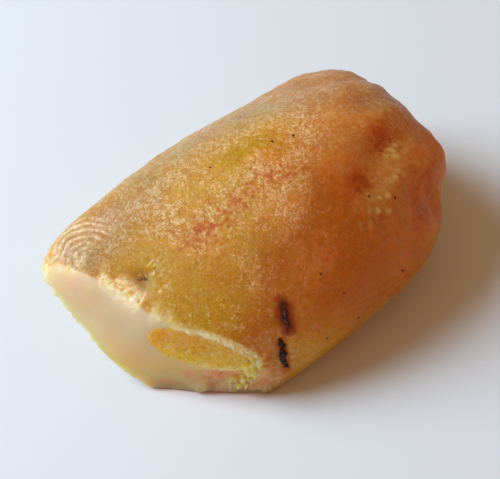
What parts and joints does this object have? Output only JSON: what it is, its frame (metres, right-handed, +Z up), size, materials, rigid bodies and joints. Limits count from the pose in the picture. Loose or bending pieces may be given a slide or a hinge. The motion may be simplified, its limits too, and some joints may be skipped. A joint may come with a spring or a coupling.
{
  "type": "raw amber piece",
  "caption": "Rough lump of raw amber: a worn, see-through golden pebble with a sugary crust, a fresh conchoidal break at one end and a flake scar; it lies on a flat underside.",
  "frame": {"origin": "on the surface the stone lies on, under the middle of its bounding box", "axes": "+X along the stone's length, from the fresh break to the lumpy rear end; +Y across it, towards its left side; +Z up"},
  "size_m": [0.0606, 0.0398, 0.0251],
  "materials": {
    "amber": "see-through golden fossil resin: frosted, sugary worn crust, satin fresh break at the front end"
  },
  "bodies": {
    "root": {"amber": "amber"}
  },
  "joints": []
}
